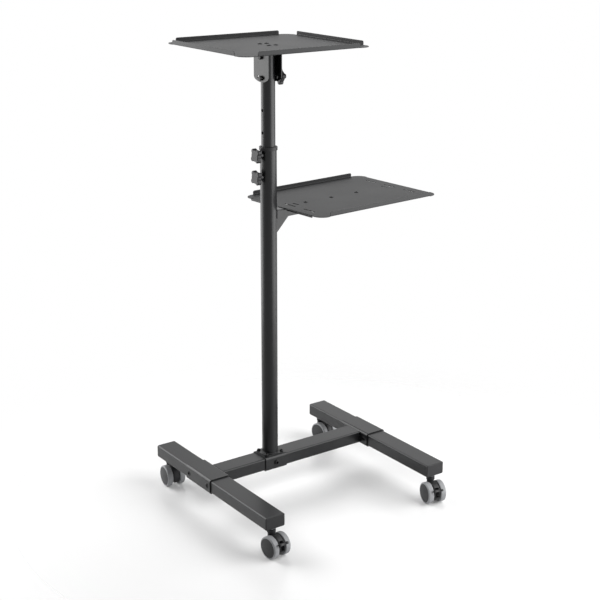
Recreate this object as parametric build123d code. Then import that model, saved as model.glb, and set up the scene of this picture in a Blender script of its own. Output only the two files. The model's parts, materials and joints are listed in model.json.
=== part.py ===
"""Portable projector stand on casters.

An H-shaped base of steel box tube carries a round two-piece column.  A tilting tray sits on the
inner column tube and a laptop shelf stands out to the right on an arm of the outer tube.

Modelling axes: X along the cross beam, +Y to the rear, +Z up, column axis at X = Y = 0, floor at
Z = 0.  The last lines move the whole stand so that the origin is the middle of its footprint.
"""
import os
from math import asin, cos, radians, sin

from build123d import *

# Base frame
leg_width = 50.0              # box tube across X
tube_height = 30.0            # box tube up Z, legs and cross beam alike
beam_width = 50.0             # cross beam across Y
tube_wall = 1.5
tube_corner = 3.5
small_edge = 0.8              # chamfer on turned ends
left_leg_offset = 176.5       # column axis to the middle of the left leg
right_leg_offset = 283.5      # column axis to the middle of the right leg
front_reach = 280.0           # cross beam axis to the front end of a leg
rear_reach = 195.0            # cross beam axis to the rear end of a leg
butt_gap = 4.0                # between the front and rear leg tubes, inside the sleeve
cap_thickness = 3.0
cap_spigot = 7.0              # part of a cap that plugs into the tube
cap_clearance = 0.2
cap_round = 1.6
sleeve_length = 105.0
sleeve_wall = 2.5
sleeve_clearance = 0.2        # between a sleeve and the tube in it
saddle_length = 60.0          # sleeve under the column, along the cross beam
flange_length = 54.0          # foot plate of the column, along X
flange_width = 46.0
flange_thickness = 3.0
flange_corner = 8.0

# Casters
wheel_diameter = 51.5
wheel_width = 14.0
wheel_gap = 18.0              # between the two wheels of a caster
tyre_thickness = 3.5
tyre_crown = 2.8
tyre_seat = 0.05              # between a tyre and its wheel disc
disc_recess = 0.4             # rim of a disc, in from the side of its tyre
disc_dome = 1.5               # how far the disc's middle stands out past the tyre's side
disc_skin = 3.0
disc_hub_diameter = 15.0
axle_diameter = 6.0
axle_seat = 0.05              # radial, between the axle and a disc
running_clearance = 0.06      # radial, at axles, stems, pins and pivot bolts
caster_height = 67.5          # floor to the underside of a leg
caster_trail = 14.5           # swivel axis to axle
caster_inset = 16.0           # end of a leg to the swivel axis
stem_diameter = 10.0
stem_grip = 18.0              # length of the stem inside the leg
stem_hole_clearance = 0.2     # radial, stem to the leg's underside
stem_nut_width = 17.0         # across flats
stem_nut_height = 5.0
stem_bottom = 41.0
hood_width = 17.0
hood_radius = 25.2
hood_skin = 3.0
hood_round = 4.0              # along the hood's front, on both sides
hood_tip_round = 6.0          # corners of the hood's lower end
hood_low_angle = -40.0        # lower end of the hood, up from level at the axle
hood_open_angle = -96.0       # end of the hood's pocket, past its lower edge, so it is open below
hood_high_angle = 118.0       # where the hood meets the stem's socket
hood_head_diameter = 20.0     # round head of the stem's socket, above the wheels
hood_head_height = 8.0
hood_head_round = 1.5
hood_head_gap = 1.0           # head to the stem's nut
axle_boss_diameter = 13.0
pedal_pin_diameter = 3.2
pedal_pin_radius = 14.0       # axle to pedal pin
pedal_pin_angle = 30.0        # up from level, at the axle
pedal_hub_diameter = 7.0
pedal_side_gap = 0.6          # pedal hub to the hood's cheeks
pedal_neck_width = 8.0
pedal_angle = 25.0            # the pedal's slope with the brake on, up from level
pedal_thickness = 5.0
pedal_tread_width = 24.0
pedal_tread_length = 8.0
pedal_tread_gap = 1.0         # tread to the tyres
pedal_tread_round = 2.0
pedal_scoop_radius = 14.0     # hollow in the tread's front edge
pedal_scoop_depth = 2.0
groove_width = 10.0           # slot of the hood that the pedal's neck moves in
groove_low_angle = -12.0
groove_high_angle = 45.0
front_left_heading = 5.0      # turn of each caster about its stem, in degrees
front_right_heading = -13.0
rear_left_heading = -5.0
rear_right_heading = 7.0

# Column
outer_tube_diameter = 38.0
inner_tube_diameter = 32.0
column_wall = 1.5
outer_tube_top = 843.5
collar_height = 8.0
collar_lip = 3.0              # part of the collar above the tube's end
collar_thickness = 1.8
collar_round = 1.2
collar_spigot = 9.0
slide_clearance = 0.3         # radial, collar to inner tube
inner_tube_bottom = 522.5
lock_height = 828.0           # axis of the upper locking knob
hole_pitch = 50.0             # height holes, and the two locking knobs
hole_diameter = 7.0
holes_above_lock = 2
holes_below_lock = 5
boss_diameter = 14.0
boss_length = 5.0
screw_diameter = 8.0
screw_clearance = 0.15
screw_tip_gap = 0.6           # screw tip to the inner tube
knob_seat_gap = 0.4           # knob face to the face it clamps on

# Knobs
knob_lobes = 4
knob_diameter = 36.5          # over the lobes
knob_lobe_diameter = 11.0
knob_core_diameter = 26.0
knob_valley_round = 3.0       # between a lobe and the core
knob_thickness = 10.5
knob_edge_round = 1.8
knob_hub_diameter = 15.0
knob_head_offset = 27.2       # column axis to the back of a knob's head
locking_knob_turn = -52.0     # turn of the lobes about the knob's axis, in degrees
tilt_knob_turn = -8.0
knob_bore_end = 1.5           # end of the clamp bolt to the end of its hole in the knob

# Tilt head
pivot_height = 1045.5
pivot_to_clamp = 46.0         # pivot bolt down to the clamp bolt
pivot_to_tube_end = 8.0       # pivot bolt up to the end of the inner tube
pivot_to_web = 22.5           # pivot bolt up to the underside of the bracket's web
pivot_bolt_diameter = 8.0
clamp_bolt_diameter = 6.0
clamp_bolt_grip = 14.0        # part of the clamp bolt inside its knob
clamp_slot_clearance = 0.4    # radial, clamp bolt to its arc slot
bracket_thickness = 2.0
bracket_depth = 57.0          # cheek across Y
bracket_side_gap = 0.4        # cheek to the inner tube
bracket_bend = 3.5
cheek_below_clamp = 9.0       # clamp bolt down to the cheek's lower edge, an arc round the pivot
cheek_round = 9.0             # rounding of the cheek's lower corners
tilt_limit = 15.0             # degrees each way
bolt_head_diameter = 11.0
bolt_head_height = 4.5
bolt_head_round = 1.2
nut_width = 13.0              # across flats
nut_height = 6.0
bolt_end = 2.0                # end of the pivot bolt past its nut
head_gap = 0.3                # bolt heads and nuts to the cheek that turns beside them

# Projector tray
tray_width = 336.0            # along X
tray_depth = 320.0            # along Y
front_lip_inset = 36.0        # ends of the front lip, in from the tray's sides
rear_lip_inset = 29.0         # ends of the rear lip, in from the tray's sides
side_lip_inset = 35.0         # ends of the side lips, in from the tray's front and rear
sheet_thickness = 1.5
bend_inner = 1.5
bend_relief = 1.0
lip_height = 10.5
lip_end_round = 4.0           # upper corners of a lip
lip_round_share = 0.8         # the most of a low lip's straight height that its corners round off
sheet_corner = 25.0

# Laptop shelf
shelf_width = 373.0           # along the arm
shelf_depth = 280.0
shelf_offset = 35.4           # column axis to the near edge of the shelf
shelf_top = 701.5
shelf_swing = 4.6             # the arm's turn about the column, in degrees
shelf_lip_inset = 29.0
shelf_hem_inset = 30.0        # end of the side hems, in from the shelf's front and rear
shelf_hem_height = 5.0
shelf_hem_gap = 5.0           # hem to the side of the arm
slot_length = 38.0
slot_width = 5.0
slot_edge_distance = 28.0     # side edge of the shelf to the outer slots
slot_pitch = 68.0
vent_length = 22.0            # shorter slots of the inner rows
vent_edge_distance = 45.0
arm_length = 300.0            # column axis to the arm's end
arm_width = 30.0
arm_height = 19.0
arm_wall = 2.0
arm_bend = 3.0
gusset_reach = 78.0           # column axis to the gusset's corner, under the arm's web
gusset_drop = 56.0            # arm's web down to the gusset's foot
gusset_foot = 3.0             # blunt lower end of the gusset, out from the column
gusset_thickness = 3.0

# Worked out from the sizes above
leg_bottom = caster_height
leg_axis_height = leg_bottom + tube_height / 2
sleeve_grow = sleeve_clearance + sleeve_wall
saddle_top = leg_axis_height + tube_height / 2 + sleeve_grow
flange_top = saddle_top + flange_thickness
outer_radius = outer_tube_diameter / 2
inner_radius = inner_tube_diameter / 2
wheel_radius = wheel_diameter / 2
wheel_inner_face = wheel_gap / 2
wheel_outer_face = wheel_inner_face + wheel_width
disc_radius = wheel_radius - tyre_thickness - tyre_seat
axle_reach = wheel_outer_face - disc_recess - disc_skin
hood_head_top = leg_bottom - stem_nut_height - hood_head_gap
clamp_height = pivot_height - pivot_to_clamp
cheek_inner = inner_radius + bracket_side_gap
cheek_outer = cheek_inner + bracket_thickness
web_bottom = pivot_height + pivot_to_web
tray_bottom = web_bottom + bracket_thickness
lock_heights = [lock_height, lock_height - hole_pitch]
shelf_bottom = shelf_top - sheet_thickness
shelf_middle = shelf_offset + shelf_width / 2

# Where each caster's stem stands, and its heading
caster_places = {
    "front_left": (-left_leg_offset, -front_reach + caster_inset, front_left_heading),
    "front_right": (right_leg_offset, -front_reach + caster_inset, front_right_heading),
    "rear_left": (-left_leg_offset, rear_reach - caster_inset, rear_left_heading),
    "rear_right": (right_leg_offset, rear_reach - caster_inset, rear_right_heading),
}
braked_casters = ("front_left", "front_right")


def box_tube(length, width, height, wall, corner):
    """Hollow box tube along +Y, from the origin, centred on its axis."""
    outside = RectangleRounded(width, height, corner)
    inside = RectangleRounded(width - 2 * wall, height - 2 * wall, corner - wall)
    return extrude(Plane.XZ * (outside - inside), -length)


def rod(diameter, length, axis):
    """Round bar centred on the origin, along the named axis."""
    turns = {"x": Rot(0, 90, 0), "y": Rot(90, 0, 0), "z": Rot(0, 0, 0)}
    return turns[axis] * Cylinder(diameter / 2, length)


# Base frame
def leg_tube(offset, start, end, stem_y):
    """One half of a leg, with the caster's stem hole through its underside."""
    tube = Pos(offset, start, leg_axis_height) * box_tube(
        end - start, leg_width, tube_height, tube_wall, tube_corner
    )
    stem_hole = rod(stem_diameter + 2 * stem_hole_clearance, 4 * tube_wall, "z")
    return tube - Pos(offset, stem_y, leg_bottom) * stem_hole


def end_cap(offset, tube_end, outward):
    """Plastic plug that closes a leg: a rounded plate and a spigot inside the tube."""
    plate = Pos(0, cap_thickness / 2, 0) * Rot(90, 0, 0) * extrude(
        RectangleRounded(leg_width, tube_height, tube_corner), cap_thickness / 2, both=True
    )
    plate = fillet(plate.faces().sort_by(Axis.Y)[-1].edges(), cap_round)
    spigot_width = leg_width - 2 * (tube_wall + cap_clearance)
    spigot_height = tube_height - 2 * (tube_wall + cap_clearance)
    spigot = Pos(0, -cap_spigot / 2, 0) * Rot(90, 0, 0) * extrude(
        RectangleRounded(spigot_width, spigot_height, tube_corner - tube_wall),
        cap_spigot / 2,
        both=True,
    )
    turn = Rot(0, 0, 0 if outward > 0 else 180)
    return Pos(offset, tube_end, leg_axis_height) * turn * (plate + spigot)


def leg_sleeve(offset):
    """Box sleeve that joins the two halves of a leg and carries the cross beam."""
    sleeve = box_tube(
        sleeve_length,
        leg_width + 2 * sleeve_grow,
        tube_height + 2 * sleeve_grow,
        sleeve_wall,
        tube_corner + sleeve_grow,
    )
    return Pos(offset, -sleeve_length / 2, leg_axis_height) * sleeve


def cross_beam():
    start = -left_leg_offset + leg_width / 2 + sleeve_grow
    end = right_leg_offset - leg_width / 2 - sleeve_grow
    beam = Rot(0, 0, -90) * box_tube(end - start, beam_width, tube_height, tube_wall, tube_corner)
    return Pos(start, 0, leg_axis_height) * beam


def column_saddle():
    sleeve = box_tube(
        saddle_length,
        beam_width + 2 * sleeve_grow,
        tube_height + 2 * sleeve_grow,
        sleeve_wall,
        tube_corner + sleeve_grow,
    )
    return Pos(-saddle_length / 2, 0, leg_axis_height) * Rot(0, 0, -90) * sleeve


def column_flange():
    plate = extrude(RectangleRounded(flange_length, flange_width, flange_corner), flange_thickness)
    return Pos(0, 0, saddle_top) * plate


# Casters, built with the stem on the Z axis and the wheels towards -Y
def caster_point(radius, angle):
    """Point of the caster's side view, by distance from the axle and angle up from the front."""
    height = wheel_radius + radius * sin(radians(angle))
    return (-caster_trail - radius * cos(radians(angle)), height)


def caster_pie(radius, low_angle, high_angle, width):
    """Slice of a round slab about the axle, between two angles."""
    middle_angle = (low_angle + high_angle) / 2
    outline = [
        Line(caster_point(0, 0), caster_point(radius, low_angle)),
        ThreePointArc(
            caster_point(radius, low_angle),
            caster_point(radius, middle_angle),
            caster_point(radius, high_angle),
        ),
        Line(caster_point(radius, high_angle), caster_point(0, 0)),
    ]
    return extrude(Plane.YZ * make_face(outline), width / 2, both=True)


def at_axle(shape):
    return Pos(0, -caster_trail, wheel_radius) * shape


def at_pedal_pin(shape):
    pin_y, pin_z = caster_point(pedal_pin_radius, pedal_pin_angle)
    return Pos(0, pin_y, pin_z) * shape


def caster_hood(braked):
    """Hollow moulding between the wheels: two cheeks, a skin round the front, the stem's socket."""
    hood = caster_pie(hood_radius, hood_low_angle, hood_high_angle, hood_width)
    straight_edges = hood.edges().filter_by(GeomType.LINE).filter_by(Axis.X, reverse=True)
    tip_edges = [edge for edge in straight_edges if edge.center().Z < wheel_radius]
    hood = fillet(tip_edges, hood_tip_round)
    front = hood.faces().filter_by(GeomType.CYLINDER).sort_by(SortBy.AREA)[-1]
    hood = fillet(front.edges().filter_by(Axis.X, reverse=True), hood_round)
    boss = at_axle(rod(axle_boss_diameter, hood_width, "x"))
    socket_bottom = stem_bottom - hood_skin
    socket = Pos(0, 0, (socket_bottom + hood_head_top) / 2) * rod(
        hood_width, hood_head_top - socket_bottom, "z"
    )
    head = Pos(0, 0, hood_head_top - hood_head_height / 2) * rod(
        hood_head_diameter, hood_head_height, "z"
    )
    head = fillet(head.faces().sort_by(Axis.Z)[-1].edges(), hood_head_round)
    neck = Pos(0, -caster_trail / 2, stem_bottom + hood_skin / 2) * Box(
        hood_width, caster_trail, 2 * hood_skin
    )
    pocket_width = hood_width - 2 * hood_skin
    pocket = caster_pie(hood_radius - hood_skin, hood_open_angle, hood_high_angle, pocket_width)
    hood = hood - (pocket - boss) + boss + neck + socket + head
    if braked:
        groove = caster_pie(wheel_radius, groove_low_angle, groove_high_angle, groove_width)
        hood -= groove - at_axle(rod(2 * pedal_pin_radius, groove_width, "x"))
        hood -= at_pedal_pin(rod(pedal_pin_diameter + 2 * running_clearance, 2 * hood_width, "x"))
    stem_hole = Pos(0, 0, stem_bottom + caster_height / 2) * rod(
        stem_diameter + 2 * running_clearance, caster_height, "z"
    )
    axle_hole = at_axle(rod(axle_diameter + 2 * running_clearance, 2 * hood_width, "x"))
    return hood - stem_hole - axle_hole


def caster_stem():
    """Swivel stem that is screwed into the leg, with its nut against the leg's underside."""
    stem_top = leg_bottom + stem_grip
    stem = Pos(0, 0, (stem_bottom + stem_top) / 2) * Cylinder(
        stem_diameter / 2, stem_top - stem_bottom
    )
    stem = chamfer(stem.faces().sort_by(Axis.Z)[-1].edges(), small_edge)
    nut_shape = RegularPolygon(stem_nut_width / 2, 6, major_radius=False)
    return stem + extrude(Plane.XY.offset(leg_bottom) * nut_shape, -stem_nut_height)


def wheel_tyre(side):
    """Tread ring with rounded shoulders."""
    ring = Cylinder(wheel_radius, wheel_width) - Cylinder(wheel_radius - tyre_thickness, wheel_width)
    outer_edges = ring.edges().filter_by(GeomType.CIRCLE).group_by(SortBy.RADIUS)[-1]
    ring = fillet(outer_edges, tyre_crown)
    middle = side * (wheel_inner_face + wheel_outer_face) / 2
    return at_axle(Pos(middle, 0, 0) * Rot(0, 90, 0) * ring)


def wheel_disc(side):
    """Disc of one wheel: domed outside, hollow round a hub inside, with a blind hole for the axle."""
    hub = disc_hub_diameter / 2
    bore = axle_diameter / 2 + axle_seat
    rim_face = wheel_outer_face - disc_recess
    hollow_end = rim_face - disc_skin
    dome_end = wheel_outer_face + disc_dome
    inside = [
        (dome_end, 0),
        (axle_reach, 0),
        (axle_reach, bore),
        (wheel_inner_face + tyre_seat, bore),
        (wheel_inner_face + tyre_seat, hub),
        (hollow_end, hub),
        (hollow_end, disc_radius - disc_skin),
        (wheel_inner_face, disc_radius - disc_skin),
        (wheel_inner_face, disc_radius),
        (rim_face, disc_radius),
    ]
    dome_height = dome_end - rim_face
    dome_radius = (disc_radius**2 + dome_height**2) / (2 * dome_height)
    half_turn = asin(disc_radius / dome_radius) / 2
    dome_middle = (dome_end - dome_radius * (1 - cos(half_turn)), dome_radius * sin(half_turn))
    dome = ThreePointArc((rim_face, disc_radius), dome_middle, (dome_end, 0))
    disc = revolve(make_face([Polyline(*inside), dome]), Axis.X)
    if side < 0:
        disc = mirror(disc, about=Plane.YZ)
    return at_axle(disc)


def wheel_axle():
    return at_axle(rod(axle_diameter, 2 * (axle_reach - axle_seat), "x"))


def brake_pedal():
    """Foot lever: a hub and pin between the hood's cheeks, a neck and a tread before the tyres."""
    hub_width = hood_width - 2 * hood_skin - 2 * pedal_side_gap
    tread_start = wheel_radius + pedal_tread_gap - pedal_pin_radius
    tread_end = tread_start + pedal_tread_length
    lever = rod(pedal_hub_diameter, hub_width, "x") + rod(pedal_pin_diameter, hood_width - small_edge, "x")
    lever += Pos(0, -tread_end / 2, 0) * Box(pedal_neck_width, tread_end, pedal_thickness)
    tread = Pos(0, -(tread_start + tread_end) / 2, 0) * Box(
        pedal_tread_width, pedal_tread_length, pedal_thickness
    )
    lever += fillet(tread.edges().filter_by(Axis.Z), pedal_tread_round)
    scoop_middle = tread_end + pedal_scoop_radius - pedal_scoop_depth
    lever -= Pos(0, -scoop_middle, 0) * Cylinder(pedal_scoop_radius, 2 * pedal_thickness)
    return at_pedal_pin(Rot(-pedal_angle, 0, 0) * lever)


# Column
def lock_axis(shape, height):
    """Puts a shape that points along +Z onto a locking knob's axis, pointing to -X."""
    return Pos(0, 0, height) * Rot(0, -90, 0) * shape


def column_bar():
    """Solid bar as thick as the outer tube, to fit what is welded to the tube's side."""
    return Pos(0, 0, outer_tube_top / 2) * Cylinder(outer_radius, outer_tube_top)


def outer_tube():
    """Outer column tube with its foot on the flange and a hole for each locking screw."""
    length = outer_tube_top - flange_top
    tube = Cylinder(outer_radius, length) - Cylinder(outer_radius - column_wall, length)
    tube = Pos(0, 0, flange_top + length / 2) * tube
    screw_hole = Pos(0, 0, outer_radius) * Cylinder(
        screw_diameter / 2 + screw_clearance, 4 * column_wall
    )
    for height in lock_heights:
        tube -= lock_axis(screw_hole, height)
    return tube


def lock_bosses():
    """Threaded bosses welded to the outer tube, one for each locking screw."""
    depth = outer_radius + boss_length
    boss = Pos(0, 0, depth / 2) * Cylinder(boss_diameter / 2, depth)
    boss = chamfer(boss.faces().sort_by(Axis.Z)[-1].edges(), small_edge)
    boss -= Pos(0, 0, depth / 2) * Cylinder(screw_diameter / 2 + screw_clearance, 2 * depth)
    return [lock_axis(boss, height) - column_bar() for height in lock_heights]


def column_collar():
    """Plastic collar on the end of the outer tube; its spigot guides the inner tube."""
    bore = inner_radius + slide_clearance
    rim = outer_radius + collar_thickness
    skirt_bottom = outer_tube_top + collar_lip - collar_height
    spigot_radius = outer_radius - column_wall
    ring = Pos(0, 0, skirt_bottom + collar_height / 2) * Cylinder(rim, collar_height)
    ring = fillet(ring.faces().sort_by(Axis.Z)[-1].edges(), collar_round)
    ring -= Pos(0, 0, outer_tube_top - collar_height / 2) * Cylinder(outer_radius, collar_height)
    spigot = Pos(0, 0, outer_tube_top - collar_spigot / 2) * Cylinder(spigot_radius, collar_spigot)
    return ring + spigot - Pos(0, 0, outer_tube_top) * Cylinder(bore, 4 * collar_height)


def inner_tube():
    """Inner column tube with its row of height holes and the two bolt holes of the tilt head."""
    top = pivot_height + pivot_to_tube_end
    length = top - inner_tube_bottom
    tube = Cylinder(inner_radius, length) - Cylinder(inner_radius - column_wall, length)
    tube = Pos(0, 0, inner_tube_bottom + length / 2) * tube
    height_hole = Pos(0, 0, inner_radius) * Cylinder(hole_diameter / 2, 4 * column_wall)
    for step in range(-holes_below_lock, holes_above_lock + 1):
        tube -= lock_axis(height_hole, lock_height + step * hole_pitch)
    pivot_hole = rod(pivot_bolt_diameter + 2 * running_clearance, 2 * inner_tube_diameter, "x")
    clamp_hole = rod(clamp_bolt_diameter + 2 * running_clearance, 2 * inner_tube_diameter, "x")
    return tube - Pos(0, 0, pivot_height) * pivot_hole - Pos(0, 0, clamp_height) * clamp_hole


# Knobs, built with the clamping face on the XY plane and the grip towards +Z
def star_knob(seat, turn):
    """Round hub and a flat head with rounded lobes; its seat is that far from the column's axis."""
    profile = Circle(knob_core_diameter / 2)
    lobe_place = (knob_diameter - knob_lobe_diameter) / 2
    for lobe in range(knob_lobes):
        spoke = Rot(0, 0, 180 + lobe * 360 / knob_lobes)
        profile += spoke * Pos(-lobe_place, 0) * Circle(knob_lobe_diameter / 2)
    profile = fillet(profile.vertices(), knob_valley_round)
    hub_length = knob_head_offset - seat
    head = extrude(Plane.XY.offset(hub_length) * profile, knob_thickness)
    rims = head.faces().filter_by(Axis.Z).edges()
    head = fillet(rims, knob_edge_round)
    hub = Pos(0, 0, (hub_length + knob_edge_round) / 2) * Cylinder(
        knob_hub_diameter / 2, hub_length + knob_edge_round
    )
    return Rot(0, 0, turn) * (head + hub)


def locking_knob(height):
    """Knob with its clamping screw, through the boss and the outer tube's wall."""
    seat = outer_radius + boss_length + knob_seat_gap
    screw_length = seat - inner_radius - screw_tip_gap
    screw = Pos(0, 0, -screw_length / 2) * Cylinder(screw_diameter / 2, screw_length)
    screw = chamfer(screw.faces().sort_by(Axis.Z)[0].edges(), small_edge)
    return lock_axis(Pos(0, 0, seat) * (star_knob(seat, locking_knob_turn) + screw), height)


def tilt_knob():
    """Knob on the free end of the clamp bolt, outside the right cheek."""
    seat = cheek_outer + knob_seat_gap
    bore = Cylinder(clamp_bolt_diameter / 2 + running_clearance, 2 * (clamp_bolt_grip + knob_bore_end))
    return Pos(seat, 0, clamp_height) * Rot(0, 90, 0) * (star_knob(seat, tilt_knob_turn) - bore)


# Tilt head
def bolt_head():
    """Round bolt head with its seat on the YZ plane and its dome towards -X."""
    head = Pos(-bolt_head_height / 2, 0, 0) * rod(bolt_head_diameter, bolt_head_height, "x")
    return fillet(head.faces().sort_by(Axis.X)[0].edges(), bolt_head_round)


def pivot_bolt():
    seat = cheek_outer + head_gap
    length = 2 * seat + nut_height + bolt_end
    shank = Pos(-seat + length / 2, 0, 0) * rod(pivot_bolt_diameter, length, "x")
    nut_shape = RegularPolygon(nut_width / 2, 6, major_radius=False)
    nut = extrude(Plane.YZ.offset(seat) * nut_shape, nut_height)
    return Pos(0, 0, pivot_height) * (shank + nut + Pos(-seat, 0, 0) * bolt_head())


def clamp_bolt():
    seat = cheek_outer + head_gap
    length = seat + cheek_outer + knob_seat_gap + clamp_bolt_grip
    shank = Pos(-seat + length / 2, 0, 0) * rod(clamp_bolt_diameter, length, "x")
    return Pos(0, 0, clamp_height) * (shank + Pos(-seat, 0, 0) * bolt_head())


def arc_slot():
    """Prism through both cheeks: an arc round the pivot as wide as the clamp bolt needs."""
    half_width = clamp_bolt_diameter / 2 + clamp_slot_clearance
    outer = pivot_to_clamp + half_width
    inner = pivot_to_clamp - half_width

    def place(radius, angle):
        return (radius * sin(radians(angle)), -radius * cos(radians(angle)))

    outline = [
        ThreePointArc(place(outer, -tilt_limit), place(outer, 0), place(outer, tilt_limit)),
        Line(place(outer, tilt_limit), place(inner, tilt_limit)),
        ThreePointArc(place(inner, tilt_limit), place(inner, 0), place(inner, -tilt_limit)),
        Line(place(inner, -tilt_limit), place(outer, -tilt_limit)),
    ]
    slot = extrude(Plane.YZ * make_face(outline), 2 * cheek_outer, both=True)
    for angle in (-tilt_limit, tilt_limit):
        end_y, end_z = place(pivot_to_clamp, angle)
        slot += Pos(0, end_y, end_z) * rod(2 * half_width, 4 * cheek_outer, "x")
    return Pos(0, 0, pivot_height) * slot


def tilt_bracket():
    """Channel bent from plate: a web under the tray and two cheeks beside the inner tube."""
    cheek_reach = pivot_to_clamp + cheek_below_clamp
    bottom = pivot_height - cheek_reach
    height = tray_bottom - bottom
    channel = Pos(0, 0, bottom + height / 2) * Box(2 * cheek_outer, bracket_depth, height)
    top_edges = channel.edges().filter_by(Axis.Y).group_by(Axis.Z)[-1]
    channel = fillet(top_edges, bracket_bend)
    inside = Pos(0, 0, bottom + (height - bracket_thickness) / 2) * Box(
        2 * cheek_inner, 2 * bracket_depth, height - bracket_thickness
    )
    inside = fillet(inside.edges().filter_by(Axis.Y).group_by(Axis.Z)[-1], bracket_bend - bracket_thickness)
    channel -= inside
    below_pivot = Pos(0, 0, pivot_height - cheek_reach / 2) * Box(
        4 * cheek_outer, 2 * bracket_depth, cheek_reach
    )
    channel -= below_pivot - Pos(0, 0, pivot_height) * rod(2 * cheek_reach, 8 * cheek_outer, "x")
    side_edges = channel.edges().filter_by(Axis.X).filter_by_position(Axis.Z, bottom, pivot_height)
    corners = side_edges.group_by(Axis.Y)[0] + side_edges.group_by(Axis.Y)[-1]
    channel = fillet(corners, cheek_round)
    pivot_hole = rod(pivot_bolt_diameter + 2 * running_clearance, 4 * cheek_outer, "x")
    return channel - Pos(0, 0, pivot_height) * pivot_hole - arc_slot()


# Trays
def bent_lip(length, height):
    """Strip along X: sheet at -Y bent up to a wall whose outer face is on the XZ plane."""
    outer_bend = bend_inner + sheet_thickness
    half_turn = radians(45)
    profile = [
        Line((-outer_bend, 0), (-outer_bend, sheet_thickness)),
        ThreePointArc(
            (-outer_bend, sheet_thickness),
            (-outer_bend + bend_inner * sin(half_turn), outer_bend - bend_inner * cos(half_turn)),
            (-sheet_thickness, outer_bend),
        ),
        Line((-sheet_thickness, outer_bend), (-sheet_thickness, height)),
        Line((-sheet_thickness, height), (0, height)),
        Line((0, height), (0, outer_bend)),
        ThreePointArc(
            (0, outer_bend),
            (-outer_bend + outer_bend * sin(half_turn), outer_bend - outer_bend * cos(half_turn)),
            (-outer_bend, 0),
        ),
    ]
    lip = extrude(Plane.YZ * make_face(profile), length / 2, both=True)
    end_round = min(lip_end_round, (height - outer_bend) * lip_round_share)
    return fillet(lip.edges().filter_by(Axis.Y).group_by(Axis.Z)[-1], end_round)


def bent_sheet(width, depth, lips):
    """Flat sheet with rounded corners and bent lips; its underside is on the XY plane.

    Each lip is (turn about Z, edge distance, middle along the edge, length, height, up or down).
    """
    sheet = extrude(RectangleRounded(width, depth, sheet_corner), sheet_thickness)
    outer_bend = bend_inner + sheet_thickness
    for turn, edge, middle, length, height, up in lips:
        notch = Pos(middle, edge, 0) * Box(length + 2 * bend_relief, 2 * outer_bend, 4 * sheet_thickness)
        sheet -= Rot(0, 0, turn) * notch
    for turn, edge, middle, length, height, up in lips:
        lip = bent_lip(length, height)
        if not up:
            lip = Pos(0, 0, sheet_thickness) * mirror(lip, about=Plane.XY)
        sheet += Rot(0, 0, turn) * Pos(middle, edge, 0) * lip
    return sheet


def projector_tray():
    side_length = tray_depth - 2 * side_lip_inset
    lips = [
        (0, tray_depth / 2, 0, tray_width - 2 * rear_lip_inset, lip_height, True),
        (180, tray_depth / 2, 0, tray_width - 2 * front_lip_inset, lip_height, True),
        (90, tray_width / 2, 0, side_length, lip_height, True),
        (270, tray_width / 2, 0, side_length, lip_height, True),
    ]
    return Pos(0, 0, tray_bottom) * bent_sheet(tray_width, tray_depth, lips)


def on_arm(shape):
    """Turns a shape of the shelf about the column, by the arm's swing."""
    return Rot(0, 0, shelf_swing) * shape


def laptop_shelf():
    along_x = shelf_width - 2 * shelf_lip_inset
    hem_end = shelf_depth / 2 - shelf_hem_inset
    hem_start = arm_width / 2 + shelf_hem_gap
    hem_middle = (hem_start + hem_end) / 2
    hem_length = hem_end - hem_start
    lips = [
        (0, shelf_depth / 2, 0, along_x, lip_height, True),
        (180, shelf_depth / 2, 0, along_x, lip_height, True),
        (90, shelf_width / 2, -hem_middle, hem_length, shelf_hem_height, False),
        (90, shelf_width / 2, hem_middle, hem_length, shelf_hem_height, False),
        (270, shelf_width / 2, 0, 2 * hem_end, shelf_hem_height, False),
    ]
    shelf = bent_sheet(shelf_width, shelf_depth, lips)
    long_slot = extrude(SlotOverall(slot_length, slot_width, rotation=90), 4 * sheet_thickness, both=True)
    vent = extrude(SlotOverall(vent_length, slot_width, rotation=90), 4 * sheet_thickness, both=True)
    for side in (-1, 1):
        for step in (-1, 0, 1):
            slot_x = side * (shelf_width / 2 - slot_edge_distance)
            shelf -= Pos(slot_x, step * slot_pitch, 0) * long_slot
        shelf -= Pos(side * (shelf_width / 2 - vent_edge_distance), 0, 0) * vent
    return on_arm(Pos(shelf_middle, 0, shelf_bottom) * shelf)


def shelf_arm():
    """Channel under the shelf, open below; its near end is cut to fit round the column."""
    arm = Pos(arm_length / 2, 0, shelf_bottom - arm_height / 2) * Box(arm_length, arm_width, arm_height)
    arm = fillet(arm.edges().filter_by(Axis.X).group_by(Axis.Z)[-1], arm_bend)
    inside = Pos(arm_length / 2, 0, shelf_bottom - arm_wall - arm_height / 2) * Box(
        2 * arm_length, arm_width - 2 * arm_wall, arm_height
    )
    inside = fillet(inside.edges().filter_by(Axis.X).group_by(Axis.Z)[-1], arm_bend - arm_wall)
    return on_arm(arm - inside - column_bar())


def shelf_bracket():
    """Gusset plate inside the arm: it props the arm's web, and its upright edge fits the column."""
    top = shelf_bottom - arm_wall
    outline = [
        (0, top),
        (gusset_reach, top),
        (outer_radius + gusset_foot, top - gusset_drop),
        (0, top - gusset_drop),
    ]
    gusset = extrude(Plane.XZ * make_face(Polyline(*outline, close=True)), gusset_thickness / 2, both=True)
    return on_arm(gusset - column_bar())


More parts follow.
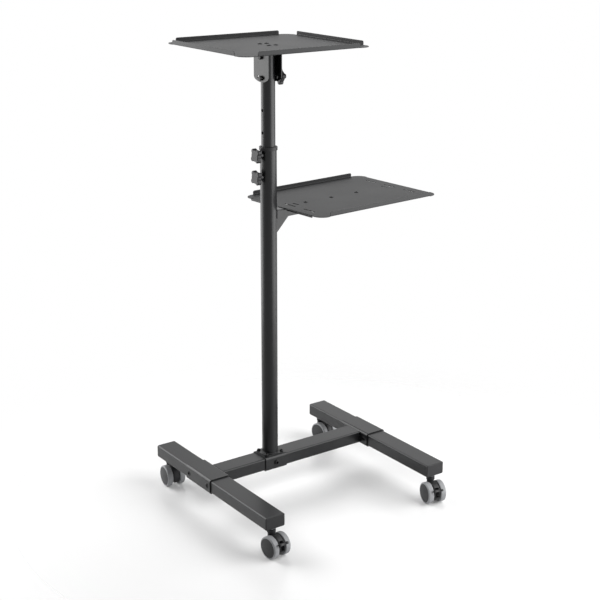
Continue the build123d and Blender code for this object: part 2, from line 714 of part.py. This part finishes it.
# The pieces, by node name
pieces = {
    "left_leg_sleeve": [leg_sleeve(-left_leg_offset)],
    "right_leg_sleeve": [leg_sleeve(right_leg_offset)],
    "cross_beam": [cross_beam()],
    "column_saddle": [column_saddle()],
    "column_flange": [column_flange()],
    "outer_tube": [outer_tube()],
    "lock_bosses": lock_bosses(),
    "column_collar": [column_collar()],
    "inner_tube": [inner_tube()],
    "upper_locking_knob": [locking_knob(lock_heights[0])],
    "lower_locking_knob": [locking_knob(lock_heights[1])],
    "pivot_bolt": [pivot_bolt()],
    "clamp_bolt": [clamp_bolt()],
    "tilt_knob": [tilt_knob()],
    "tilt_bracket": [tilt_bracket()],
    "projector_tray": [projector_tray()],
    "shelf_arm": [shelf_arm()],
    "shelf_bracket": [shelf_bracket()],
    "laptop_shelf": [laptop_shelf()],
}
end_caps = []
for side, leg_x in (("left", -left_leg_offset), ("right", right_leg_offset)):
    front_end = -front_reach + cap_thickness
    rear_end = rear_reach - cap_thickness
    front_stem = -front_reach + caster_inset
    rear_stem = rear_reach - caster_inset
    pieces[f"front_{side}_leg"] = [leg_tube(leg_x, front_end, -butt_gap / 2, front_stem)]
    pieces[f"rear_{side}_leg"] = [leg_tube(leg_x, butt_gap / 2, rear_end, rear_stem)]
    end_caps.append(end_cap(leg_x, front_end, -1))
    end_caps.append(end_cap(leg_x, rear_end, 1))
pieces["leg_end_caps"] = end_caps
stems = []
for place, (stem_x, stem_y, heading) in caster_places.items():
    stand = Pos(stem_x, stem_y, 0) * Rot(0, 0, heading)
    braked = place in braked_casters
    stems.append(Pos(stem_x, stem_y, 0) * caster_stem())
    pieces[f"{place}_hood"] = [stand * caster_hood(braked)]
    pieces[f"{place}_wheel_set"] = [stand * wheel_disc(-1), stand * wheel_axle(), stand * wheel_disc(1)]
    pieces[f"{place}_tyres"] = [stand * wheel_tyre(side) for side in (-1, 1)]
    if braked:
        pieces[f"{place}_brake_pedal"] = [stand * brake_pedal()]
pieces["caster_stems"] = stems

# The origin goes to the middle of the footprint, on the floor
whole = Compound([solid for solids in pieces.values() for solid in solids]).bounding_box()
origin_x = (whole.min.X + whole.max.X) / 2
origin_y = (whole.min.Y + whole.max.Y) / 2

os.makedirs("parts", exist_ok=True)
for name, solids in pieces.items():
    moved = [Pos(-origin_x, -origin_y, 0) * solid for solid in solids]
    export_step(moved[0] if len(moved) == 1 else Compound(moved), f"parts/{name}.step")
print("origin at", round(origin_x, 3), round(origin_y, 3), "nodes", len(pieces))
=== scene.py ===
# %% [markdown]
# A black stand on casters, dressed for a studio picture
#
# The solid model of the stand is loaded first and stays fixed.  This lesson gives every piece its
# finish, adds the fasteners and welds that are too small for the solid model, and sets up floor,
# light and camera.

# %% Load the stand
import json
from math import asin, cos, pi, radians, sin

import bmesh
import bpy
from mathutils import Matrix, Vector


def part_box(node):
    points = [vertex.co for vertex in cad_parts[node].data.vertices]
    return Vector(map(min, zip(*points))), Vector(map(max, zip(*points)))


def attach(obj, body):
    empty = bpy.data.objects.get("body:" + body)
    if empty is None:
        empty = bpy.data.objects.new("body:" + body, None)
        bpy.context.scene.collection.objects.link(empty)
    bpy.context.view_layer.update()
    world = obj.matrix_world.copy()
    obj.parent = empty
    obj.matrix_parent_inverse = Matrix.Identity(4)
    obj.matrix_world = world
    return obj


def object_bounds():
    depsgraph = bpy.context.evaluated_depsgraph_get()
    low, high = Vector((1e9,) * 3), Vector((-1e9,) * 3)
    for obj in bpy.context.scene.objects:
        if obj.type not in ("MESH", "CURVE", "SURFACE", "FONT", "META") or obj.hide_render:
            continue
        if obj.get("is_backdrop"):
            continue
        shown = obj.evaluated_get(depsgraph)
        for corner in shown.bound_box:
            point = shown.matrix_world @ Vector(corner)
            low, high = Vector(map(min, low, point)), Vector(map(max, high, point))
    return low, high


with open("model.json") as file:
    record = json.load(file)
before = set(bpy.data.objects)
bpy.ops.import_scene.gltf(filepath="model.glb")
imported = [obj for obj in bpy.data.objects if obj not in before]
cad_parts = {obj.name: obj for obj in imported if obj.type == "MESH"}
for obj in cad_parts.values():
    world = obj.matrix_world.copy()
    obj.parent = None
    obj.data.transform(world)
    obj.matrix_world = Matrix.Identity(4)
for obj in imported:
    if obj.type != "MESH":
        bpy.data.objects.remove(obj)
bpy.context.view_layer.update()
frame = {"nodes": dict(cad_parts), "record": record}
nodes = frame["nodes"]
print("pieces in the solid model:", len(nodes))

# %% [markdown]
# Lengths on the stand are easier to read in millimetres, while Blender works in metres.  The column
# is the natural thing to measure from, so its axis is taken from the box round the outer tube.

# %% Find the column's axis
MM = 0.001
tube_low, tube_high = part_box("outer_tube")
column_radius = (tube_high.x - tube_low.x) / 2
column = (tube_low + tube_high) / 2
column.z = 0
print("column axis at", [round(v, 4) for v in column], "and radius", round(column_radius, 4))

# %% [markdown]
# Finishes are small graphs of shader nodes.  Written link by link they are long and hard to follow,
# so a thin wrapper lets a sum such as `0.4 + 0.2 * grain` add its own Math nodes.  Any other node
# comes from one method, which takes the node's settings first and then what goes into its sockets.


# %% A wrapper for shader sockets
class Value:
    """A socket in a node tree that takes part in Python sums; without a socket, just the tree."""

    def __init__(self, tree, socket=None):
        self.tree = tree
        self.socket = socket

    def node(self, kind, settings=None, inputs=None, output=0):
        """Adds any node: its settings first, then the values or links of its sockets."""
        made = self.tree.nodes.new(kind)
        for name, setting in (settings or {}).items():
            setattr(made, name, setting)
        for name, given in (inputs or {}).items():
            if isinstance(given, Value):
                self.tree.links.new(given.socket, made.inputs[name])
            else:
                made.inputs[name].default_value = given
        return Value(self.tree, made.outputs[output])

    def math(self, operation, first, second):
        return self.node("ShaderNodeMath", {"operation": operation}, {0: first, 1: second})

    def __add__(self, other):
        return self.math("ADD", self, other)

    def __radd__(self, other):
        return self.math("ADD", other, self)

    def __sub__(self, other):
        return self.math("SUBTRACT", self, other)

    def __rsub__(self, other):
        return self.math("SUBTRACT", other, self)

    def __mul__(self, other):
        return self.math("MULTIPLY", self, other)

    def __rmul__(self, other):
        return self.math("MULTIPLY", other, self)

    def noise(self, scale, detail=2.0):
        """Soft random pattern at this place."""
        return self.node("ShaderNodeTexNoise", None, {"Vector": self, "Scale": scale, "Detail": detail})

    def mix(self, dark, light):
        """Colour between two, by this value."""
        colours = {0: self, 6: (*dark, 1), 7: (*light, 1)}
        return self.node("ShaderNodeMix", {"data_type": "RGBA"}, colours, output=2)

    def bump(self, strength, distance):
        """Surface normal that this height gives."""
        heights = {"Height": self, "Strength": strength, "Distance": distance}
        return self.node("ShaderNodeBump", None, heights)


print("wrapper ready")

# %% [markdown]
# Every finish starts in the same way: a material with Blender's all-round shader, and the place on
# the piece, which its patterns follow.  The patterns use the piece's own coordinates, so they stay on
# it when a joint moves.


# %% Start a finish
def start_finish(name):
    """An empty material, its shader, and the place on the piece."""
    material = bpy.data.materials.new(name)
    material.use_nodes = True
    shader = next(n for n in material.node_tree.nodes if n.type == "BSDF_PRINCIPLED")
    place = Value(material.node_tree).node("ShaderNodeTexCoord", output="Object")
    return material, shader, place


def feed(shader, **inputs):
    """Links or sets the shader's inputs; an underscore in a name stands for a space."""
    for name, given in inputs.items():
        socket = shader.inputs[name.replace("_", " ")]
        if isinstance(given, Value):
            given.tree.links.new(given.socket, socket)
        else:
            socket.default_value = given


print("finishes can be started and fed")

# %% [markdown]
# The steelwork is powder coated: paint sprayed on as dry powder and baked, which leaves a fine
# orange-peel grain and a half-matt sheen.  A fine noise makes the grain as bump, and a coarse one
# shifts the sheen a little so that long tubes don't look like plastic.  The sheets of the two trays
# have the same black in a duller texture, which hides scratches and keeps a flat top from shining
# like a mirror when it is seen at a low angle.


# %% Powder coat
def powder_coat(name, dullness):
    material, shader, place = start_finish(name)
    grain = place.noise(1400.0, 2.0)
    drift = place.noise(9.0, 3.0)
    feed(
        shader,
        Base_Color=drift.mix((0.006, 0.0062, 0.0068), (0.010, 0.0104, 0.0112)),
        Roughness=dullness + 0.08 * drift,
        Specular_IOR_Level=0.26,
        Normal=grain.bump(0.2, 0.00012),
    )
    return material


frame_paint = powder_coat("black powder coat", dullness=0.29)
tray_coat = powder_coat("textured powder coat", dullness=0.5)
print("made", frame_paint.name, "and", tray_coat.name)

# %% [markdown]
# Knobs, hoods, caps and the collar are moulded plastic, and so are the wheels' discs, in a lighter
# grey.  It is a little lighter, less blue and duller than the paint, with a soft texture that the
# mould was etched with.


# %% Moulded plastic
def moulded_plastic(name, dark, light, dullness, gloss):
    material, shader, place = start_finish(name)
    grain = place.noise(900.0, 3.0)
    wear = place.noise(30.0, 4.0)
    feed(
        shader,
        Base_Color=wear.mix(dark, light),
        Roughness=dullness + 0.12 * wear,
        Specular_IOR_Level=gloss,
        Normal=grain.bump(0.15, 0.0001),
    )
    return material


black_plastic = moulded_plastic(
    "black plastic", (0.010, 0.010, 0.011), (0.017, 0.017, 0.018), dullness=0.46, gloss=0.26
)
wheel_plastic = moulded_plastic(
    "dark grey plastic", (0.02, 0.0203, 0.021), (0.03, 0.0304, 0.032), dullness=0.45, gloss=0.25
)
print("made", black_plastic.name, "and", wheel_plastic.name)

# %% [markdown]
# The treads are soft and pale.  They pick up a little dust where they roll, so the colour drifts
# between two greys.


# %% Soft tread
def soft_tread():
    material, shader, place = start_finish("pale grey tread")
    dust = place.noise(60.0, 4.0)
    feed(
        shader,
        Base_Color=dust.mix((0.2, 0.204, 0.212), (0.27, 0.274, 0.282)),
        Roughness=0.55 + 0.15 * dust,
        Normal=place.noise(700.0).bump(0.1, 0.0001),
    )
    return material


tread_rubber = soft_tread()
print("made", tread_rubber.name)

# %% [markdown]
# Fasteners are steel: bolts and screws are blackened, the caster stems are dull zinc.  The socket of a
# bolt
# lies in shade, and that shade is painted: its faces take a near-black finish without any gloss.


# %% Fastener steel
def fastener_steel(name, dark, light, metal, dullness, gloss):
    material, shader, place = start_finish(name)
    patch = place.noise(120.0, 3.0)
    feed(
        shader,
        Base_Color=patch.mix(dark, light),
        Metallic=metal,
        Roughness=dullness + 0.15 * patch,
        Specular_IOR_Level=gloss,
    )
    return material


black_steel = fastener_steel(
    "blackened steel", (0.006, 0.006, 0.006), (0.012, 0.012, 0.013), metal=0.0, dullness=0.4, gloss=0.2
)
zinc_steel = fastener_steel(
    "dull zinc", (0.14, 0.14, 0.15), (0.2, 0.2, 0.21), metal=1.0, dullness=0.35, gloss=0.5
)
# painted shade: the near-black, glossless finish that the socket faces take in place of the shade in the
# hole
socket_painted_shade = fastener_steel(
    "painted shade in sockets", (0.002, 0.002, 0.002), (0.003, 0.003, 0.003), metal=0.0, dullness=0.8, gloss=0.0
)
print("made", black_steel.name, "and", zinc_steel.name, "and", socket_painted_shade.name)

# %% [markdown]
# The record of the stand says which kind of finish each piece takes, so a loop can put them on.  Only
# the trays' sheets are named here, because their coat is a variant of the frame's paint.

# %% Put the finishes on
finishes = {
    "frame_paint": frame_paint,
    "black_plastic": black_plastic,
    "wheel_grey": wheel_plastic,
    "tyre_grey": tread_rubber,
    "black_steel": black_steel,
    "zinc_steel": zinc_steel,
}
textured_sheets = ("projector_tray", "laptop_shelf")
for entry in frame["record"]["subparts"]:
    piece = nodes[entry["node"]]
    finish = tray_coat if entry["node"] in textured_sheets else finishes[entry["material_slot"]]
    piece.data.materials.clear()
    piece.data.materials.append(finish)

# %% [markdown]
# The small pieces are built point by point.  Both the bolts and the welds are made of rings of points
# joined by four-sided faces, then turned into a smooth mesh and fixed to the body that they move with.


# %% Helpers for small pieces
def join_rings(shape, ring, following):
    """Faces between two rings of as many points."""
    count = len(ring)
    faces = []
    for k in range(count):
        after = (k + 1) % count
        faces.append(shape.faces.new((ring[k], ring[after], following[after], following[k])))
    return faces


def smooth_mesh(shape, name, materials):
    """Turns a built shape into a smooth mesh with its finishes."""
    bmesh.ops.recalc_face_normals(shape, faces=shape.faces)
    mesh = bpy.data.meshes.new(name)
    shape.to_mesh(mesh)
    shape.free()
    for face in mesh.polygons:
        face.use_smooth = True
    for material in materials:
        mesh.materials.append(material)
    return mesh


def add_piece(name, mesh, pose, body):
    """Puts a mesh in its pose and lets it move with a body."""
    piece = bpy.data.objects.new(name, mesh)
    bpy.context.scene.collection.objects.link(piece)
    piece.matrix_world = pose
    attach(piece, body)


print("helpers ready")

# %% [markdown]
# The base is bolted together.  A dome-headed bolt with a socket for a hex key is a revolved outline
# with a hexagonal hole.  One mesh of each kind is made, and every bolt of that kind shares it.


# %% A dome-headed bolt
def level_ring(shape, radius, height, count):
    """Points of a level polygon round the bolt's axis."""
    turns = [2 * pi * k / count for k in range(count)]
    return [shape.verts.new((radius * cos(turn), radius * sin(turn), height)) for turn in turns]


def dome_bolt(radius, height, socket_width, socket_depth):
    """Mesh of a blackened bolt head: its seat on the XY plane, its dome towards +Z."""
    shape = bmesh.new()
    corners = 6
    sides_per_corner = 6
    dome_steps = 6
    socket_radius = socket_width / 2 / cos(pi / corners)
    flat_past_socket = 1.15
    flat_radius = socket_radius * flat_past_socket
    hole = level_ring(shape, socket_radius, height, corners)
    socket_floor = level_ring(shape, socket_radius, height - socket_depth, corners)
    socket_faces = join_rings(shape, hole, socket_floor)
    socket_faces.append(shape.faces.new(socket_floor))
    # the socket's walls and floor take the painted shade, the mesh's second finish
    for face in socket_faces:
        face.material_index = 1
    dome = []
    for step in range(dome_steps + 1):
        turn = pi / 2 * step / dome_steps
        ring_radius = flat_radius + (radius - flat_radius) * sin(turn)
        dome.append(level_ring(shape, ring_radius, height * cos(turn), corners * sides_per_corner))
    for ring, following in zip(dome, dome[1:]):
        join_rings(shape, ring, following)
    flat_ring = dome[0] + dome[0][:1]
    for k in range(corners):
        run = flat_ring[k * sides_per_corner : (k + 1) * sides_per_corner + 1]
        shape.faces.new([hole[k]] + run + [hole[(k + 1) % corners]])
    shape.faces.new(dome[-1])
    return smooth_mesh(shape, "dome bolt", [black_steel, socket_painted_shade])


def fasten(mesh, name, place, outward, body):
    """Puts one bolt head at a place, facing outward."""
    facing = Vector(outward).to_track_quat("Z", "Y").to_matrix().to_4x4()
    add_piece(name, mesh, Matrix.Translation(place) @ facing, body)


print("bolts can be made and fastened")

# %% [markdown]
# Each leg is two box tubes that meet in a sleeve, with a bolt through the sleeve near either end.  The
# heads are thin, because the left sleeve's outer face is the outermost face of the whole stand.

# %% Bolts of the leg sleeves
sleeve_bolt = dome_bolt(6.5 * MM, 0.9 * MM, 6.0 * MM, 0.7 * MM)
sleeve_bolt_offset = 40 * MM
for side in ("left", "right"):
    low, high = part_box(f"{side}_leg_sleeve")
    middle = (low + high) / 2
    for end, along in (("front", -1), ("rear", 1)):
        for hand, face, outward in (("left", low.x, -1), ("right", high.x, 1)):
            place = Vector((face, middle.y + along * sleeve_bolt_offset, middle.z))
            fasten(sleeve_bolt, f"{side}_sleeve_{end}_bolt_{hand}", place, (outward, 0, 0), "base")
print("bolts on both leg sleeves")

# %% [markdown]
# The column's saddle is bolted through the cross beam, and the foot plate on it is held by a smaller
# bolt in each corner.

# %% Bolts at the column's foot
saddle_bolt = dome_bolt(6.5 * MM, 3.6 * MM, 6.0 * MM, 3.0 * MM)
saddle_low, saddle_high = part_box("column_saddle")
for end, face, outward in (("front", saddle_low.y, -1), ("rear", saddle_high.y, 1)):
    place = Vector((column.x, face, (saddle_low.z + saddle_high.z) / 2))
    fasten(saddle_bolt, f"saddle_bolt_{end}", place, (0, outward, 0), "base")
flange_bolt = dome_bolt(4.6 * MM, 3.6 * MM, 4.0 * MM, 2.6 * MM)
flange_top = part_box("column_flange")[1].z
flange_bolt_across = 21.5 * MM
flange_bolt_along = 17 * MM
for hand, across in (("left", -flange_bolt_across), ("right", flange_bolt_across)):
    for end, along in (("front", -flange_bolt_along), ("rear", flange_bolt_along)):
        place = Vector((column.x + across, column.y + along, flange_top))
        fasten(flange_bolt, f"flange_bolt_{end}_{hand}", place, (0, 0, 1), "base")
print("bolts on the saddle and the foot plate, whose top is at", round(flange_top, 4))

# %% [markdown]
# Both trays are held by low screws: four go down into the web of the tilt bracket, and three in a
# row into the arm under the lower shelf.  The arm stands out from the column at a slight swing.

# %% Screws of the trays
sheet_thickness = 1.5 * MM
tray_screw = dome_bolt(5.5 * MM, 1.8 * MM, 3.0 * MM, 1.2 * MM)
tray_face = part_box("projector_tray")[0].z + sheet_thickness
tray_screw_across = 9 * MM
tray_screw_along = 18 * MM
for hand, across in (("left", -tray_screw_across), ("right", tray_screw_across)):
    for end, along in (("front", -tray_screw_along), ("rear", tray_screw_along)):
        place = Vector((column.x + across, column.y + along, tray_face))
        fasten(tray_screw, f"tray_screw_{end}_{hand}", place, (0, 0, 1), "tray_head")
arm_swing = Matrix.Rotation(radians(4.6), 4, "Z")
arm_low, arm_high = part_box("shelf_arm")
shelf_screw_reaches = (110 * MM, 190 * MM, 270 * MM)
for number, reach in enumerate(shelf_screw_reaches, 1):
    place = column + arm_swing @ Vector((reach, 0, arm_high.z + sheet_thickness))
    fasten(tray_screw, f"shelf_screw_{number}", place, (0, 0, 1), "base")
print("four screws in the upper tray and", len(shelf_screw_reaches), "in the shelf")

# %% [markdown]
# What a bolt doesn't hold is welded: the column to its foot plate, and the arm and its gusset to the
# column.  A hand-run weld is a row of overlapping pools, so the bead is a tube along a line whose
# thickness swells at every ripple.  It is painted over with the rest.


# %% A weld bead
def weld_bead(name, points, closed):
    """A painted weld along the points, fixed to the base."""
    bead_radius = 1.8 * MM
    sides = 8
    points_per_ripple = 5
    ripple_depth = 0.08
    shape = bmesh.new()
    rings = []
    for k, point in enumerate(points):
        after = points[(k + 1) % len(points)] if closed or k + 1 < len(points) else point
        before = points[k - 1] if closed or k > 0 else point
        along = (after - before).normalized()
        across = along.cross(Vector((0, 0, 1)))
        upright = across.length < 0.1
        across = Vector((1, 0, 0)) if upright else across.normalized()
        upward = across.cross(along)
        swell = cos(2 * pi * k / points_per_ripple)
        radius = bead_radius * (1 - ripple_depth + ripple_depth * swell)
        turns = [2 * pi * j / sides for j in range(sides)]
        offsets = [radius * (cos(turn) * across + sin(turn) * upward) for turn in turns]
        rings.append([shape.verts.new(point + offset) for offset in offsets])
    for ring, following in zip(rings, rings[1:]):
        join_rings(shape, ring, following)
    if closed:
        join_rings(shape, rings[-1], rings[0])
    else:
        shape.faces.new(rings[0])
        shape.faces.new(rings[-1])
    add_piece(name, smooth_mesh(shape, name, [frame_paint]), Matrix.Identity(4), "base")


print("weld beads can be run")

# %% [markdown]
# All the welds lie against the column, so their lines are given by an angle round it, counted from
# the arm, and a height.

# %% Welds at the column
weld_lift = 0.3 * MM
weld_radius = column_radius + weld_lift
weld_point_step = 0.5 * MM


def round_column(start, end, height, count):
    """Points on the column's side, between two angles off the arm."""
    angles = [start + (end - start) * k / count for k in range(count + 1)]
    points = [Vector((weld_radius * cos(a), weld_radius * sin(a), height)) for a in angles]
    return [column + arm_swing @ point for point in points]


def up_column(angle, low, high):
    """Points up the column's side, at one angle off the arm."""
    count = round((high - low) / weld_point_step)
    heights = [low + (high - low) * k / count for k in range(count + 1)]
    points = [Vector((weld_radius * cos(angle), weld_radius * sin(angle), height)) for height in heights]
    return [column + arm_swing @ point for point in points]


foot_weld_points = 240
arm_top_points = 70
arm_half_width = 15 * MM
gusset_half_thickness = 1.5 * MM
arm_angle = asin(arm_half_width / weld_radius)
gusset_angle = asin(gusset_half_thickness / weld_radius)
gusset_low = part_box("shelf_bracket")[0].z
weld_bead("column_foot_weld", round_column(0, 2 * pi, flange_top, foot_weld_points)[:-1], True)
weld_bead("arm_weld_top", round_column(-arm_angle, arm_angle, arm_high.z, arm_top_points), False)
for hand, side in (("front", -1), ("rear", 1)):
    weld_bead(f"arm_weld_{hand}", up_column(side * arm_angle, arm_low.z, arm_high.z), False)
    weld_bead(f"gusset_weld_{hand}", up_column(side * gusset_angle, gusset_low, arm_low.z), False)
print("welds at the foot, the arm and the gusset")

# %% [markdown]
# A white studio is bright wherever the camera looks, but the stand must not be flooded with light.
# Light Path tells rays apart: those that show the background, straight or in a reflection, see it at
# full white.  Rays that carry light to the stand find a dim room, so the lamps alone set how bright
# the stand is.


# %% Rays that show the background
def showing_rays(tree):
    """1 for rays that show the background and 0 for rays that light the stand."""
    lighting = 1.0
    for ray in ("Is Camera Ray", "Is Glossy Ray", "Is Transmission Ray"):
        lighting = lighting * (1 - Value(tree).node("ShaderNodeLightPath", output=ray))
    return 1 - lighting


print("background rays can be told apart")

# %% [markdown]
# The stand is shown on a pale floor that runs out into a white backdrop.  A floor that simply stops
# would show its edge, and a floor as far as the horizon would turn grey, so this one fades: a mask
# made from the distance to the middle of the stand mixes the floor with a clear shader, and the world
# behind it takes over.  Near the stand the floor is solid and takes the soft shadow.

# %% Floor
floor_reach = 12.0
fade_start = 0.42
fade_end = 0.95
floor_mesh = bpy.data.meshes.new("studio floor")
floor_corners = [(floor_reach * x, floor_reach * y, 0) for x, y in ((-1, -1), (1, -1), (1, 1), (-1, 1))]
floor_mesh.from_pydata(floor_corners, [], [(0, 1, 2, 3)])
floor = bpy.data.objects.new("studio floor", floor_mesh)
bpy.context.scene.collection.objects.link(floor)
floor_paint, floor_shader, floor_place = start_finish("pale floor")
floor_tree = floor_paint.node_tree
feed(
    floor_shader,
    Base_Color=(0.76, 0.76, 0.76, 1),
    Roughness=0.25,
    Emission_Color=showing_rays(floor_tree).mix((0, 0, 0), (1, 1, 1)),
    Emission_Strength=0.07,
)
distance = floor_place.node("ShaderNodeVectorMath", {"operation": "LENGTH"}, {0: floor_place}, output=1)
fade = distance.node(
    "ShaderNodeMapRange",
    {"interpolation_type": "SMOOTHSTEP"},
    {"Value": distance, "From Min": fade_start, "From Max": fade_end},
)
solid = Value(floor_tree, floor_shader.outputs[0])
clear = fade.node("ShaderNodeBsdfTransparent")
faded = fade.node("ShaderNodeMixShader", None, {0: fade, 1: solid, 2: clear})
floor_output = next(n for n in floor_tree.nodes if n.type == "OUTPUT_MATERIAL")
floor_tree.links.new(faded.socket, floor_output.inputs["Surface"])
floor_mesh.materials.append(floor_paint)
floor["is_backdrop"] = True
print("floor fades out between", fade_start, "and", fade_end, "m")

# %% [markdown]
# Behind the floor is only the world.  It is plain white where it shows, and a faint room light for
# everything else, which keeps the shaded sides from going fully black.

# %% Backdrop
room_light = 0.08
world = bpy.data.worlds.new("white studio")
world.use_nodes = True
bpy.context.scene.world = world
backdrop = next(n for n in world.node_tree.nodes if n.type == "BACKGROUND")
backdrop.inputs["Color"].default_value = (1, 1, 1, 1)
strength = room_light + (1 - room_light) * showing_rays(world.node_tree)
world.node_tree.links.new(strength.socket, backdrop.inputs["Strength"])
print("room light", room_light)

# %% [markdown]
# Large area lamps act as soft boxes.  Two wide ones stand on the floor left and right of the
# picture.  Black paint shows little colour of its own, so its shape is drawn by what it reflects:
# the boxes make the long bright lines down both sides of the tubes.  Two more hang behind the
# stand: the left one draws the rounded upper edges of the legs, the right one shines along the trays.


# %% Lamps
def soft_box(name, place, target, size, power):
    """A lamp at a place, facing a target, both measured from the column's foot."""
    lamp = bpy.data.lights.new(name, "AREA")
    lamp.shape = "RECTANGLE"
    lamp.size, lamp.size_y = size
    lamp.energy = power
    holder = bpy.data.objects.new(name, lamp)
    bpy.context.scene.collection.objects.link(holder)
    holder.visible_camera = False
    holder.location = column + Vector(place)
    holder.rotation_euler = (Vector(target) - Vector(place)).to_track_quat("-Z", "Y").to_euler()
    print(name, power, "W")


soft_box("left soft box", (-0.76, 1.05, 1.05), (0, 0, 1.05), (1.4, 2.1), 32)
soft_box("right soft box", (0.87, -0.90, 1.25), (0, 0, 1.25), (1.4, 2.5), 54)
soft_box("back left soft box", (-0.73, 1.86, 1.5), (-0.1, 0, 0.2), (1.8, 1.0), 20)
soft_box("back right soft box", (2.3, 1.95, 2.0), (0, 0, 0.6), (2.6, 2.0), 9)

# %% [markdown]
# The camera stands to the front left, a little above the upper tray, and looks down on the base.  Its
# place and lens were worked out from the straight edges of the stand in the photograph.

# %% Camera
camera_offset = Vector((-1.5973, -2.3580, 1.3931))
camera_heading = radians(35.555)
camera_dip = radians(17.693)
camera_roll = radians(0.11)
focal_pixels = 1284.8
frame_pixels = 600
lens = bpy.data.cameras.new("studio camera")
lens.sensor_width = 36.0
lens.lens = focal_pixels / frame_pixels * lens.sensor_width
camera = bpy.data.objects.new("studio camera", lens)
bpy.context.scene.collection.objects.link(camera)
camera.matrix_world = (
    Matrix.Translation(column + camera_offset)
    @ Matrix.Rotation(-camera_heading, 4, "Z")
    @ Matrix.Rotation(pi / 2 - camera_dip, 4, "X")
    @ Matrix.Rotation(camera_roll, 4, "Z")
)
bpy.context.scene.camera = camera
bpy.context.scene.view_settings.view_transform = "Standard"
print("lens", round(lens.lens, 2), "mm")

# %% [markdown]
# The box round the dressed stand is measured, with the floor left out.

# %% Measure the dressed stand
low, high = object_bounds()
